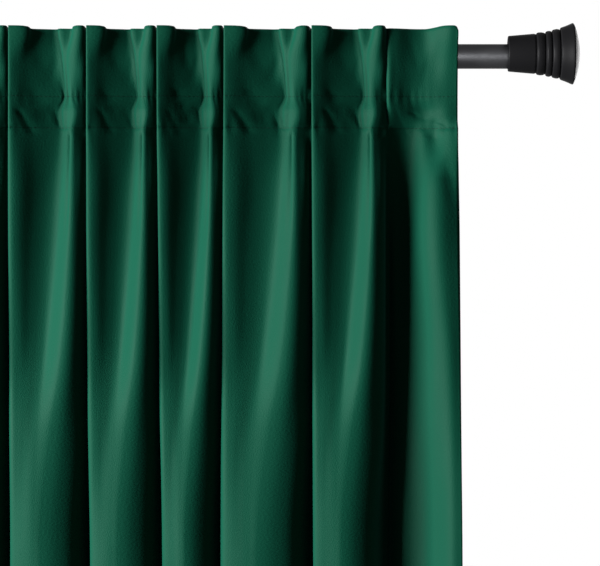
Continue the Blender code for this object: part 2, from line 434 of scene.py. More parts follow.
def blend(heights: Sequence[float], table: Sequence, z: float) -> np.ndarray:
    """Blend the rows of a table above and below a height in a smooth curve.

    Args:
        heights: the rows' heights, from the top down.
        table: the rows' values.
        z: the height asked for.

    Returns:
        The blended values.
    """
    rows = [np.asarray(row, dtype=float) for row in table]
    index = 0
    while index < len(rows) - 2 and z < heights[index + 1]:
        index += 1
    run = heights[index + 1] - heights[index]
    share = (z - heights[index]) / run
    return (rows[index] * (1 + 2 * share) * (1 - share) ** 2
            + table_slope(heights, rows, index) * run * share * (1 - share) ** 2
            + rows[index + 1] * share ** 2 * (3 - 2 * share)
            - table_slope(heights, rows, index + 1) * run * share ** 2 * (1 - share))


def smooth_line(points: np.ndarray, steps: Sequence[int]) -> np.ndarray:
    """Draw a smooth line through points, evenly stepped within each span.

    Args:
        points: the points it passes through.
        steps: the number of steps in each span.

    Returns:
        The points of the line.
    """
    gaps = np.maximum(np.linalg.norm(np.diff(points, axis=0), axis=1) ** 0.5, 1e-6)
    slopes = np.diff(points, axis=0) / gaps[:, None]
    tangents = np.empty_like(points)
    tangents[0] = slopes[0]
    tangents[-1] = slopes[-1]
    before = gaps[:-1, None]
    after = gaps[1:, None]
    tangents[1:-1] = (slopes[:-1] * after + slopes[1:] * before) / (before + after)
    line = []
    for index, count in enumerate(steps):
        share = np.arange(count)[:, None] / count
        gap = gaps[index]
        square = share * share
        cube = square * share
        line.append(
            (2 * cube - 3 * square + 1) * points[index]
            + (cube - 2 * square + share) * gap * tangents[index]
            + (3 * square - 2 * cube) * points[index + 1]
            + (cube - square) * gap * tangents[index + 1])
    line.append(points[-1:])
    return np.concatenate(line)


# The cloth


@dataclass
class CurtainPanel:
    """One length of velvet, stitched to a heading and hung in uneven folds."""

    name: str = "curtain_cloth"
    node: str = "curtain_panel"
    flat_width: float = 1.45
    flat_length: float = 2.50
    thickness: float = 0.0014
    top_z: float = 0.0286
    hem_z: float = -2.4714
    upper_seam_z: float = -0.0420
    lower_seam_z: float = -0.0738
    corner_radius: float = 0.005
    corner_rows: int = 4
    hem_depth: float = 0.080
    top_sag: float = 0.0024
    seam_depths: Pair = (0.0003, 0.0011)
    pucker_pitches: Pair = (0.0105, 0.0125)
    pucker_height: float = 0.00042
    # A station counts the columns of the fold table from a fold's left edge.
    blister_station: float = 5.45
    blister_z: float = -0.0580
    blister_height: float = 0.0012
    drag_station: float = 5.84
    drag_depth: float = 0.0015
    band_stations: Pair = (5.34, 5.56)
    band_height: float = 0.0050
    foot_crease_station: float = 5.20
    foot_crease_depth: float = 0.0010
    last_drag_x: float = 0.3234
    last_drag_run: float = 0.0228
    last_drag_depth: float = 0.0032
    last_ridge_height: float = 0.0009
    seam_crease_depth: float = 0.0011
    slack_height: float = 0.0006
    usual_fold: float = 0.071
    edge_heights: tuple[float, ...] = (0.0286, -0.327, -0.490, -2.4714)
    left_edge: tuple[float, ...] = (-0.3500, -0.3515, -0.3525, -0.3580)
    right_edge: tuple[float, ...] = (0.3512, 0.3530, 0.3546, 0.3600)
    # Each row: the fold's left edge at the four heights, then how deep it is.
    folds: tuple[tuple[float, ...], ...] = (
        (-0.3300, -0.3310, -0.3315, -0.3380, 1.00),
        (-0.2620, -0.2605, -0.2600, -0.2660, 0.97),
        (-0.1760, -0.1775, -0.1780, -0.1720, 1.03),
        (-0.1005, -0.0990, -0.0980, -0.1010, 0.99),
        (-0.0222, -0.0200, -0.0181, -0.0130, 1.00),
        (0.0486, 0.0518, 0.0548, 0.0600, 1.02),
        (0.1160, 0.1143, 0.1138, 0.1170, 0.96),
        (0.2042, 0.2051, 0.2062, 0.2120, 1.00),
        (0.2798, 0.2800, 0.2780, 0.2840, 1.00),
    )
    # Columns: left edge, first crest, shoulder, shaded slope, valley, foot of the lit slope,
    # main crest, turn, right side, recess, recess turn, return.
    # Each row: height, front plane, depth, then shares of the width across and the depth back.
    fold_plans: tuple = (
        (0.0286, -0.0375, 0.022, (
            (0.000, 0.035), (0.014, 0.025), (0.235, 0.19), (0.285, 0.65), (0.490, 0.92),
            (0.572, 1.00), (0.892, 0.04), (0.948, 0.11), (0.980, 0.44), (1.010, 0.95),
            (1.250, 0.97), (1.045, 0.32))),
        (-0.010, -0.0375, 0.022, (
            (0.000, 0.035), (0.014, 0.025), (0.110, 0.16), (0.265, 0.47), (0.500, 0.84),
            (0.650, 0.85), (0.790, 0.42), (0.862, 0.33), (0.955, 0.43), (1.005, 0.95),
            (1.320, 0.97), (1.050, 0.32))),
        (-0.042, -0.0380, 0.0225, (
            (0.000, 0.030), (0.014, 0.020), (0.100, 0.14), (0.265, 0.48), (0.640, 0.95),
            (0.690, 1.01), (0.795, 0.70), (0.852, 0.72), (0.925, 0.85), (0.995, 0.97),
            (1.380, 0.98), (1.055, 0.34))),
        (-0.058, -0.0395, 0.0245, (
            (0.000, 0.030), (0.016, 0.020), (0.095, 0.14), (0.260, 0.43), (0.560, 0.90),
            (0.632, 0.96), (0.832, 0.50), (0.885, 0.55), (0.950, 0.70), (0.994, 0.96),
            (1.370, 0.97), (1.055, 0.34))),
        (-0.080, -0.0420, 0.027, (
            (0.000, 0.060), (0.020, 0.030), (0.110, 0.13), (0.310, 0.45), (0.580, 0.80),
            (0.655, 0.83), (0.785, 0.60), (0.858, 0.70), (0.930, 0.86), (0.988, 0.96),
            (1.350, 0.97), (1.055, 0.36))),
        (-0.127, -0.0465, 0.034, (
            (0.000, 0.09), (0.025, 0.05), (0.140, 0.12), (0.340, 0.43), (0.530, 0.58),
            (0.635, 0.55), (0.790, 0.20), (0.865, 0.26), (0.932, 0.38), (0.985, 0.95),
            (1.190, 0.97), (1.055, 0.42))),
        (-0.187, -0.0490, 0.043, (
            (0.000, 0.12), (0.025, 0.08), (0.130, 0.13), (0.290, 0.31), (0.470, 0.42),
            (0.590, 0.39), (0.775, 0.03), (0.860, 0.09), (0.935, 0.29), (0.985, 0.94),
            (1.060, 0.97), (1.055, 0.50))),
        (-0.307, -0.0495, 0.052, (
            (0.000, 0.22), (0.025, 0.18), (0.120, 0.195), (0.240, 0.25), (0.360, 0.29),
            (0.445, 0.28), (0.650, 0.00), (0.800, 0.05), (0.925, 0.36), (0.985, 0.93),
            (1.025, 0.97), (1.025, 0.50))),
        (-0.380, -0.0495, 0.056, (
            (0.000, 0.12), (0.030, 0.06), (0.110, 0.045), (0.190, 0.050), (0.270, 0.053),
            (0.345, 0.042), (0.510, 0.00), (0.700, 0.05), (0.880, 0.26), (0.985, 0.92),
            (1.020, 0.97), (1.015, 0.50))),
        (-0.490, -0.0495, 0.060, (
            (0.000, 0.17), (0.030, 0.11), (0.085, 0.07), (0.155, 0.040), (0.230, 0.017),
            (0.295, 0.005), (0.375, 0.00), (0.570, 0.055), (0.780, 0.23), (0.970, 0.90),
            (1.010, 0.97), (1.005, 0.50))),
        (-2.4714, -0.0495, 0.061, (
            (0.000, 0.17), (0.035, 0.11), (0.090, 0.07), (0.165, 0.038), (0.245, 0.014),
            (0.320, 0.003), (0.420, 0.00), (0.610, 0.06), (0.810, 0.25), (0.970, 0.92),
            (1.010, 0.97), (1.005, 0.50))),
    )
    # Columns: recess, first crest, shoulder, hollow, rise, lit slope, crest, edge.
    end_plans: tuple = (
        (0.0286, (
            (0.002, 0.95), (0.014, 0.45), (0.120, 0.47), (0.360, 0.84), (0.550, 0.86),
            (0.730, 0.36), (0.880, 0.05), (1.000, 0.06))),
        (-0.010, (
            (0.002, 0.96), (0.015, 0.48), (0.125, 0.56), (0.330, 0.82), (0.500, 0.92),
            (0.670, 0.86), (0.840, 0.64), (1.000, 0.62))),
        (-0.042, (
            (0.002, 0.99), (0.016, 0.58), (0.130, 0.70), (0.300, 0.94), (0.450, 1.00),
            (0.620, 0.94), (0.820, 0.87), (1.000, 0.90))),
        (-0.058, (
            (0.006, 1.02), (0.030, 0.82), (0.150, 0.93), (0.310, 1.14), (0.500, 1.30),
            (0.660, 1.12), (0.830, 0.93), (1.000, 0.98))),
        (-0.080, (
            (0.012, 1.06), (0.045, 1.12), (0.200, 1.38), (0.360, 1.38), (0.520, 1.14),
            (0.690, 1.06), (0.850, 0.82), (1.000, 0.66))),
        (-0.127, (
            (0.030, 1.00), (0.090, 1.03), (0.200, 1.07), (0.340, 0.98), (0.480, 0.65),
            (0.600, 0.35), (0.725, 0.25), (1.000, 0.37))),
        (-0.187, (
            (0.040, 0.97), (0.100, 0.92), (0.200, 0.90), (0.330, 0.77), (0.460, 0.40),
            (0.590, 0.12), (0.720, 0.03), (1.000, 0.16))),
        (-0.307, (
            (0.040, 0.97), (0.110, 0.86), (0.210, 0.78), (0.360, 0.65), (0.520, 0.40),
            (0.670, 0.13), (0.830, 0.02), (1.000, 0.07))),
        (-0.490, (
            (0.040, 0.97), (0.110, 0.82), (0.210, 0.73), (0.370, 0.68), (0.520, 0.58),
            (0.680, 0.30), (0.860, 0.04), (1.000, 0.02))),
        (-2.4714, (
            (0.040, 0.97), (0.110, 0.81), (0.210, 0.71), (0.370, 0.68), (0.520, 0.58),
            (0.680, 0.30), (0.860, 0.03), (1.000, 0.03))),
    )
    last_fold_stops_before: int = 2
    # Each row: place along the rod and height of both ends.
    seam_creases: tuple = (
        ((0.300, -0.0585), (0.323, -0.0640)),
        ((0.324, -0.0665), (0.348, -0.0710)),
    )
    # Each row: place in the fold and height of both ends, width and depth of the wrinkle.
    wrinkles: tuple = (
        ((0.0185, -0.036), (0.0310, -0.070), 0.0030, 0.0021),
        ((0.0105, -0.056), (0.0220, -0.080), 0.0026, 0.0016),
        ((0.0440, -0.002), (0.0380, -0.030), 0.0032, 0.0015),
        ((0.0230, 0.014), (0.0290, -0.012), 0.0034, 0.0013),
        ((0.0380, -0.050), (0.0450, -0.072), 0.0024, 0.0010),
    )
    # Columns: edge, crest, turn, side, recess, recess turn, return.
    start_plan: tuple[Pair, ...] = (
        (0.000, 0.20), (0.300, 0.04), (0.680, 0.20), (0.880, 0.55), (1.040, 0.95),
        (1.180, 0.97), (1.160, 0.62))
    # Steps of the mesh in each span of a fold, from its left edge on.
    fold_steps: tuple[int, ...] = (3, 4, 5, 4, 5, 16, 4, 4, 4, 3, 3, 3)
    start_steps: int = 4
    end_steps: int = 6
    # Each row: upper height, lower height, number of rows of the mesh between them.
    bands: tuple[tuple[float, float, int], ...] = (
        (0.0286, -0.0330, 15), (-0.0330, -0.0840, 30), (-0.0840, -0.5000, 30),
        (-0.5000, -2.4714, 12))

    def heights(self) -> np.ndarray:
        """List the heights of the mesh's rows, from the top edge to the hem."""
        parts = [np.linspace(top, low, count, endpoint=False) for top, low, count in self.bands]
        return np.concatenate([*parts, [self.hem_z]])

    def read(self, table: tuple, entry: int, z: float) -> np.ndarray:
        """Read one entry of a plan table at a height, blended between the rows."""
        return blend([row[0] for row in table], [row[entry] for row in table], z)

    def across(self, edges: Sequence[float], z: float) -> float:
        """Find where an edge or a fold, given at the four edge heights, stands along the rod."""
        return float(blend(self.edge_heights, edges[:4], z))

    def plan(self, z: float) -> np.ndarray:
        """Lay out the cloth's plan at a height.

        Args:
            z: the height asked for.

        Returns:
            The stations of the cloth from its left edge to its right edge.
        """
        plane = float(self.read(self.fold_plans, 1, z))
        depth = float(self.read(self.fold_plans, 2, z))
        start = self.across(self.left_edge, z)
        first = self.across(self.folds[0], z)
        line = [(start + (first - start) * x, plane + y * depth) for x, y in self.start_plan]
        # In the heading the valleys keep to the tabs, whatever a fold's depth.
        in_heading = 1.0 - float(ease((-0.055 - z) / 0.12))
        shares = self.read(self.fold_plans, -1, z)
        for fold, following in zip(self.folds, self.folds[1:]):
            left = self.across(fold, z)
            right = self.across(following, z)
            front = plane + depth * (1.0 - fold[4]) * in_heading
            line += [(left + (right - left) * x, front + y * depth * fold[4])
                     for x, y in shares]
        line = line[:-self.last_fold_stops_before]
        left = self.across(self.folds[-1], z)
        right = self.across(self.right_edge, z)
        line += [(left + (right - left) * x, plane + y * depth)
                 for x, y in self.read(self.end_plans, -1, z)]
        return np.asarray(line)

    def steps(self) -> list[int]:
        """List the mesh's steps in every span of the plan.

        Returns:
            One number for each span, from the left edge to the right edge.
        """
        spans = [self.start_steps] * len(self.start_plan)
        spans += list(self.fold_steps) * (len(self.folds) - 1)
        spans = spans[:-self.last_fold_stops_before]
        return spans + [self.end_steps] * (len(self.end_plans[0][1]) - 1)

    def stations(self) -> tuple[np.ndarray, np.ndarray]:
        """Tell which fold and which station each column of the mesh is at.

        Returns:
            The fold's number for each column, -1 before the first fold, and the station within
            the fold as a fraction.
        """
        fold_number = []
        station = []
        count = len(self.folds) - 1
        per_fold = len(self.fold_steps)
        for index, steps in enumerate(self.steps()):
            for step in range(steps):
                place = index + step / steps - len(self.start_plan)
                number = math.floor(place / per_fold)
                if place >= count * per_fold - self.last_fold_stops_before:
                    number = count
                    place += self.last_fold_stops_before
                fold_number.append(max(-1, number))
                station.append(place - max(0, number) * per_fold)
        fold_number.append(count)
        station.append(station[-1] + 1 / self.end_steps)
        return np.asarray(fold_number), np.asarray(station)

    def surface(self) -> tuple[np.ndarray, np.ndarray]:
        """Lay out the middle surface of the hung cloth.

        Returns:
            Its points by row and column, and the length along the cloth of each column.
        """
        spans = self.steps()
        rows = []
        for z in self.heights():
            line = smooth_line(self.plan(float(z)), spans)
            rows.append(np.column_stack([line, np.full(len(line), z)]))
        grid = np.asarray(rows)
        # The top edge sags where it runs back from the front, and hardly at all at its right.
        back = grid[:, :, 1] - grid[:, :, 1].min(axis=1, keepdims=True)
        sag = self.top_sag * ease((back - 0.001) / 0.009)
        sag *= 1.0 - 0.9 * ease((grid[:, :, 0] - 0.318) / 0.022)
        grid[:, :, 2] -= sag * ease((grid[:, :, 2] - 0.008) / 0.020)
        steps = np.linalg.norm(np.diff(grid[:, :, :2], axis=1), axis=2).mean(axis=0)
        lengths = np.concatenate([[0.0], np.cumsum(steps)])
        return grid, lengths

    def fronts(self, grid: np.ndarray) -> np.ndarray:
        """Find the way the cloth's front faces at each point, as unit vectors."""
        normal = np.cross(np.gradient(grid, axis=0), np.gradient(grid, axis=1))
        return normal / np.linalg.norm(normal, axis=2, keepdims=True)

    def creases(self, grid: np.ndarray, lengths: np.ndarray) -> np.ndarray:
        """Work out the creases, puckers and slack of the cloth.

        Args:
            grid: points by row and column.
            lengths: length along the cloth of each column.

        Returns:
            How far each point stands out to the front.
        """
        z = grid[:, :, 2]
        fold, station = (row[None, :] for row in self.stations())
        length = lengths[None, :]
        under = self.lower_seam_z - z
        height = np.zeros(z.shape)

        # Two rows of stitching draw the cloth in, with small puckers above and below.
        held = 0.20 + 0.80 * ease((station - 0.6) / 0.8)
        for seam, depth, pitch in zip((self.upper_seam_z, self.lower_seam_z),
                                      self.seam_depths, self.pucker_pitches):
            gap = z - seam
            wander = 0.35 * np.sin(length * 61.0 + seam * 300) + 0.6 * np.sin(length * 23.0)
            pucker = np.sin(length * math.tau / pitch + wander * 2.4)
            strength = 0.5 + 0.5 * np.sin(length * 37.0 + 1.3 + seam * 90)
            height -= depth * bell(gap, 0.0018) * held
            height += self.pucker_height * pucker * strength * bell(gap, 0.0080) * held

        # Between the seams each lit slope swells like a blister.
        folded = 1.0 * (fold < len(self.folds) - 1)
        swell = bell(z - self.blister_z, 0.0085) * bell(station - self.blister_station, 0.35)
        height += self.blister_height * swell * folded

        # A drag line runs down each lit slope from the lower seam, close to the main crest.
        drift = 0.10 * ease(under / 0.09)
        drag = bell(station - self.drag_station + drift, 0.16) * ease(under / 0.01)
        height -= self.drag_depth * drag * ease((z + 0.20) / 0.06) * folded

        # In the heading each lit slope has a flat band down its middle, plainest at the top
        # edge, and a thin crease along its foot.
        above = ease((z + 0.078) / 0.010) * folded
        plain = 0.10 + 0.90 * ease(z / 0.024)
        raised, sunk = self.band_stations
        band = bell(station - raised, 0.12) - bell(station - sunk, 0.12)
        height += self.band_height * plain * band * above
        depth = self.foot_crease_depth * (0.5 + ease((z + 0.04) / 0.06))
        height -= depth * bell(station - self.foot_crease_station, 0.07) * above

        # Slanted wrinkles in the heading's hollows, unlike from fold to fold.
        inside = self.places_in_folds(grid, fold)
        facing = ease((station - 0.8) / 0.6) * ease((5.2 - station) / 0.4)
        for first, last, width, depth in self.wrinkles:
            share = (z - first[1]) / (last[1] - first[1])
            shift = 0.0022 * np.sin(fold * 2.3 + first[0] * 400)
            middle = first[0] + (last[0] - first[0]) * share + shift
            ends = ease(share / 0.3 + 0.5) * ease((1.0 - share) / 0.3 + 0.5)
            strength = 0.8 + 0.3 * np.sin(fold * 1.7 + first[0] * 250)
            strength *= 0.35 + 0.65 * folded
            height -= depth * strength * bell(inside - middle, width) * ends * facing

        # Another drag line slants across the last section from the lower seam to its edge.
        reach = under / 0.060
        sideways = grid[:, :, 0] - (self.last_drag_x + self.last_drag_run * reach)
        drawn = ease((reach + 0.10) / 0.30) * ease((1.25 - reach) / 0.35) * (1.0 - folded)
        drawn = drawn * ease((self.right_edge[1] - grid[:, :, 0]) / 0.010)
        height += drawn * self.last_ridge_height * bell(sideways - 0.017, 0.010)
        height -= drawn * self.last_drag_depth * bell(sideways, 0.007)

        # Two small creases lie along the last section's lower seam.
        for first, last in self.seam_creases:
            along = (grid[:, :, 0] - first[0]) / (last[0] - first[0])
            gap = z - (first[1] + (last[1] - first[1]) * along) - 0.0012 * np.sin(along * 7.0)
            ends = ease(along / 0.2) * ease((1.0 - along) / 0.2) * (1.0 - folded)
            height -= self.seam_crease_depth * bell(gap, 0.0020) * ends

        # Slack in the falling cloth.
        slow = np.sin(z * 9.0 + fold * 1.9) * np.sin(station * 1.1 + fold)
        return height + self.slack_height * slow * ease(under / 0.05)

    def places_in_folds(self, grid: np.ndarray, fold: np.ndarray) -> np.ndarray:
        """Measure how far each point is from its fold's left edge.

        Args:
            grid: points by row and column.
            fold: the fold's number for each column.

        Returns:
            The distance along X, scaled to a fold of the usual width.
        """
        edges = [*self.folds, self.right_edge]
        number = np.clip(fold[0], 0, len(edges) - 2)
        places = np.empty(grid.shape[:2])
        for row, z in enumerate(self.heights()):
            starts = np.array([self.across(edge, float(z)) for edge in edges])
            width = starts[number + 1] - starts[number]
            places[row] = (grid[row, :, 0] - starts[number]) / width * self.usual_fold
        return places

    def build(self, material: Material) -> tuple[Item, "ClothPatch"]:
        """Build the cloth.

        Args:
            material: the velvet.

        Returns:
            The cloth, and the patch that stitching lies on.
        """
        grid, lengths = self.surface()
        fronts = self.fronts(grid)
        grid = grid + fronts * self.creases(grid, lengths)[:, :, None]
        self.round_corner(grid)
        item = mesh_object(self.name, grid.reshape(-1, 3), grid_faces(*grid.shape[:2]), material)
        self.add_lengths(item.data, lengths)
        thicken = item.modifiers.new("cloth_thickness", "SOLIDIFY")
        thicken.thickness = self.thickness
        thicken.offset = 0.0
        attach(item, "root")
        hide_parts(self.node)
        return item, ClothPatch(grid, self.fronts(grid), self.thickness / 2)

    def round_corner(self, grid: np.ndarray) -> None:
        """Round the two top corners of the cloth.

        Args:
            grid: points by row and column, changed in place.
        """
        radius = self.corner_radius
        for side in (-1, 0):
            gap = np.abs(grid[0, :, 0] - grid[0, side, 0])
            near = gap < radius
            drop = radius - np.sqrt(np.maximum(radius ** 2 - (radius - gap[near]) ** 2, 0.0))
            for row in range(self.corner_rows):
                grid[row, near, 2] -= drop * (1.0 - row / self.corner_rows)

    def add_lengths(self, mesh: bpy.types.Mesh, lengths: np.ndarray) -> None:
        """Give the mesh a map in metres of the flat cloth.

        Args:
            mesh: the cloth's mesh.
            lengths: length along the cloth of each column.
        """
        layer = mesh.uv_layers.new(name="flat_cloth")
        corners = np.empty(len(mesh.loops), dtype=np.int64)
        mesh.loops.foreach_get("vertex_index", corners)
        heights = np.array([vertex.co.z for vertex in mesh.vertices])
        places = np.column_stack([lengths[corners % len(lengths)], heights[corners]])
        layer.uv.foreach_set("vector", places.astype(np.float32).ravel())


@dataclass
class ClothPatch:
    """The cloth's front surface, for stitching to lie on."""

    grid: np.ndarray
    fronts: np.ndarray
    lift: float

    def at_height(self, z: float) -> tuple[np.ndarray, np.ndarray]:
        """Cut the surface level.

        Args:
            z: the height of the cut.

        Returns:
            Points and fronts along the cut, one for each column.
        """
        heights = self.grid[:, :, 2].mean(axis=1)
        row = int(np.clip(np.searchsorted(-heights, -z) - 1, 0, len(heights) - 2))
        share = (heights[row] - z) / (heights[row] - heights[row + 1])
        points = self.grid[row] * (1 - share) + self.grid[row + 1] * share
        fronts = self.fronts[row] * (1 - share) + self.fronts[row + 1] * share
        return points, fronts


@dataclass
class StitchRow:
    """A row of lockstitches across the cloth."""

    name: str
    z: float
    length: float = 0.0034
    gap: float = 0.0010
    width: float = 0.0005
    clearance: float = 0.00002
    inset: float = 0.004
    end_inset: float = 0.006
    sides: int = 5
    # Each row: share of the stitch's length, and its thickness there as a share.
    shape: tuple[Pair, ...] = ((0.0, 0.25), (0.25, 1.0), (0.75, 1.0), (1.0, 0.25))

    def build(self, patch: ClothPatch, material: Material, face: float = 1.0) -> Item:
        """Build the stitches as one piece.

        Args:
            patch: the cloth they lie on.
            material: the thread.
            face: 1 for the front of the cloth and -1 for its back.

        Returns:
            The stitches.
        """
        points, fronts = patch.at_height(self.z)
        runs = np.concatenate([[0.0], np.cumsum(
            np.linalg.norm(np.diff(points, axis=0), axis=1))])
        begins = np.arange(self.inset, runs[-1] - self.end_inset, self.length + self.gap)
        upright = np.array([0.0, 0.0, 1.0])
        rings = len(self.shape)
        vertices = []
        faces = []
        for begin in begins:
            first = len(vertices)
            for along, size in self.shape:
                spot = begin + along * self.length
                middle = along_line(spot, runs, points)
                out = along_line(spot, runs, fronts)
                out = face * out / np.linalg.norm(out)
                middle = middle + out * (patch.lift + self.clearance + self.width * 0.22 * size)
                for side in range(self.sides):
                    turn = math.tau * side / self.sides
                    vertices.append(middle + out * (math.sin(turn) * self.width * 0.30 * size)
                                    + upright * (math.cos(turn) * self.width * 0.5 * size))
            end = first + (rings - 1) * self.sides
            faces += tube_faces(first, rings, self.sides)
            faces.append(tuple(range(first, first + self.sides))[::-1])
            faces.append(tuple(range(end, end + self.sides)))
        item = mesh_object(self.name, np.asarray(vertices), faces, material)
        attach(item, "root")
        return item


@dataclass
class BackTab:
    """A strip of the cloth folded over and behind the rod and sewn to the heading's back."""

    number: int
    middle_x: float
    width: float = 0.024
    thickness: float = 0.0012
    rod_radius: float = 0.0125
    gap: float = 0.0003
    cloth_back_y: float = -0.0145
    top_z: float = 0.0240
    leaves_cloth_z: float = 0.0165
    foot_z: float = -0.0470
    first_angle: float = 105.0
    last_angle: float = -45.0
    arc_steps: int = 24
    across_steps: int = 6

    def path(self) -> list[Pair]:
        """Trace the strip's middle line in the plane across the rod.

        Returns:
            Points from its top edge to its foot, as depth and height.
        """
        flat = self.cloth_back_y + self.gap + self.thickness / 2
        radius = self.rod_radius + self.gap + self.thickness / 2
        line = [(flat, self.top_z), (flat, (self.top_z + self.leaves_cloth_z) / 2),
                (flat, self.leaves_cloth_z)]
        for step in range(self.arc_steps + 1):
            share = step / self.arc_steps
            turn = math.radians(self.first_angle + (self.last_angle - self.first_angle) * share)
            line.append((radius * math.cos(turn), radius * math.sin(turn)))
        y, z = line[-1]
        line.append(((y + flat) / 2, z - (y - flat) / 2))
        line.append((flat, z - (y - flat)))
        line.append((flat, self.foot_z))
        return line

    def build(self, material: Material) -> Item:
        """Build the strip.

        Args:
            material: the strip's cloth.

        Returns:
            The strip.
        """
        line = self.path()
        places = np.linspace(-self.width / 2, self.width / 2, self.across_steps + 1)
        points = [(self.middle_x + x, y, z) for y, z in line for x in places]
        faces = grid_faces(len(line), len(places))
        name = f"tab_strip_{self.number:02d}"
        item = mesh_object(name, np.asarray(points), faces, material)
        layer = item.data.uv_layers.new(name="flat_cloth")
        runs = [0.0]
        for before, after in zip(line, line[1:]):
            runs.append(runs[-1] + math.dist(before, after))
        for loop in item.data.loops:
            row, column = divmod(loop.vertex_index, len(places))
            layer.data[loop.index].uv = (self.number + places[column], runs[row])
        thicken = item.modifiers.new("strip_thickness", "SOLIDIFY")
        thicken.thickness = self.thickness
        thicken.offset = 0.0
        thicken.use_even_offset = True
        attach(item, "root")
        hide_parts(f"back_tab_{self.number:02d}")
        return item


# The rod and its finials


@dataclass
class CurtainRod:
    """Plain round powder-coated rod."""

    radius: float = 0.0125
    half_length: float = 0.4332
    segments: int = 96
    edge: float = 0.0006

    def build(self, material: Material) -> Item:
        """Build the rod.

        Args:
            material: its coating.

        Returns:
            The rod.
        """
        end, inner = self.half_length, self.radius - self.edge
        profile = [(0.0, -end), (inner, -end), (self.radius, self.edge - end),
                   (self.radius, end - self.edge), (inner, end), (0.0, end)]
        item = turned_piece("rod_tube", profile, self.segments, material)
        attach(item, "root")
        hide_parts("curtain_rod")
        return item


def turned_piece(name: str, profile: Sequence[Pair], segments: int, material: Material,
                 side: float = 1.0, start: float = 0.0, rise: float = 0.0) -> Item:
    """Turn a profile about a line along the rod.

    Args:
        name: the piece's name.
        profile: radius and distance along, from one end on the axis to the other.
        segments: number of segments around.
        material: its finish.
        side: 1 to run to the right and -1 to run to the left.
        start: where the profile's zero lies along the rod.
        rise: height of the axis.

    Returns:
        The piece.
    """
    points = []
    for radius, along in profile:
        for segment in range(segments):
            turn = math.tau * segment / segments
            points.append((side * (start + along), -radius * math.cos(turn),
                           rise + radius * math.sin(turn)))
    faces = tube_faces(0, len(profile), segments)
    if side < 0:
        faces = [face[::-1] for face in faces]
    item = mesh_object(name, np.asarray(points), faces, material)
    weld = item.modifiers.new("close_ends", "WELD")
    weld.merge_threshold = 0.000001
    return item


@dataclass
class TrumpetFinial:
    """Moulded finial that flares from the rod through three ribs to a domed end."""

    start_x: float = 0.4035
    rise: float = 0.0027
    segments: int = 128
    round_steps: int = 5
    socket_radius: float = 0.0128
    socket_depth: float = 0.030
    # Each row: distance along, radius, and the radius of the rounding there.
    profile: tuple[tuple[float, float, float], ...] = (
        (0.0000, 0.0181, 0.0010),
        (0.0264, 0.0204, 0.0008),
        (0.0283, 0.0196, 0.0005),
        (0.0294, 0.0214, 0.0010),
        (0.0328, 0.0220, 0.0016),
        (0.0362, 0.0214, 0.0010),
        (0.0375, 0.0205, 0.0005),
        (0.0387, 0.0228, 0.0010),
        (0.0410, 0.0234, 0.0014),
        (0.0431, 0.0231, 0.0008),
        (0.0440, 0.0221, 0.0004),
        (0.0449, 0.0240, 0.0010),
        (0.0486, 0.0253, 0.0016),
        (0.0515, 0.0249, 0.0009),
        (0.0524, 0.0239, 0.0004),
        (0.0532, 0.0264, 0.0008),
        (0.0600, 0.0289, 0.0100),
        (0.0655, 0.0314, 0.0007),
        (0.0668, 0.0300, 0.0006),
    )
    lip: float = 0.0004
    dome_end: float = 0.0728
    dome_steps: int = 14

    def line(self) -> list[Pair]:
        """Draw the outline with its corners rounded.

        Returns:
            Radius and distance along, from the socket's floor round to the dome's middle.
        """
        line = [(0.0, self.socket_depth), (self.socket_radius, self.socket_depth),
                (self.socket_radius, self.lip), (self.socket_radius + self.lip, 0.0)]
        corners = [np.array(line[-1])]
        corners += [np.array([radius, along]) for along, radius, _ in self.profile]
        corners.append(np.array([0.0, self.dome_end]))
        for index, (_, _, rounding) in enumerate(self.profile, start=1):
            corner = corners[index]
            ends = []
            for other in (corners[index - 1], corners[index + 1]):
                far = np.linalg.norm(other - corner)
                ends.append(corner + (other - corner) / far * min(rounding, 0.45 * far))
            enter, leave = ends
            for step in range(self.round_steps + 1):
                share = step / self.round_steps
                point = ((1 - share) ** 2 * enter + 2 * share * (1 - share) * corner
                         + share ** 2 * leave)
                line.append((float(point[0]), float(point[1])))
        start, radius, _ = self.profile[-1]
        rest = self.dome_end - start - self.lip
        for step in range(1, self.dome_steps + 1):
            left = 1 - step / self.dome_steps
            line.append((radius * left * 0.985, start + self.lip + rest * (1 - left ** 1.9)))
        return line

    def build(self, side: float, material: Material) -> Item:
        """Build the finial of one end.

        Args:
            side: 1 for the right end and -1 for the left end.
            material: its moulding.

        Returns:
            The finial.
        """
        end = "right" if side > 0 else "left"
        item = turned_piece(f"finial_cap_{end}", self.line(), self.segments, material,
                            side=side, start=self.start_x, rise=self.rise)
        self.centre_socket(item)
        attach(item, "root")
        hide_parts(f"finial_{end}")
        return item

    def centre_socket(self, item: Item) -> None:
        """Set the socket's four rings on the rod's axis, a little below the finial's own."""
        for index in range(4 * self.segments):
            item.data.vertices[index].co.z -= self.rise


# Studio


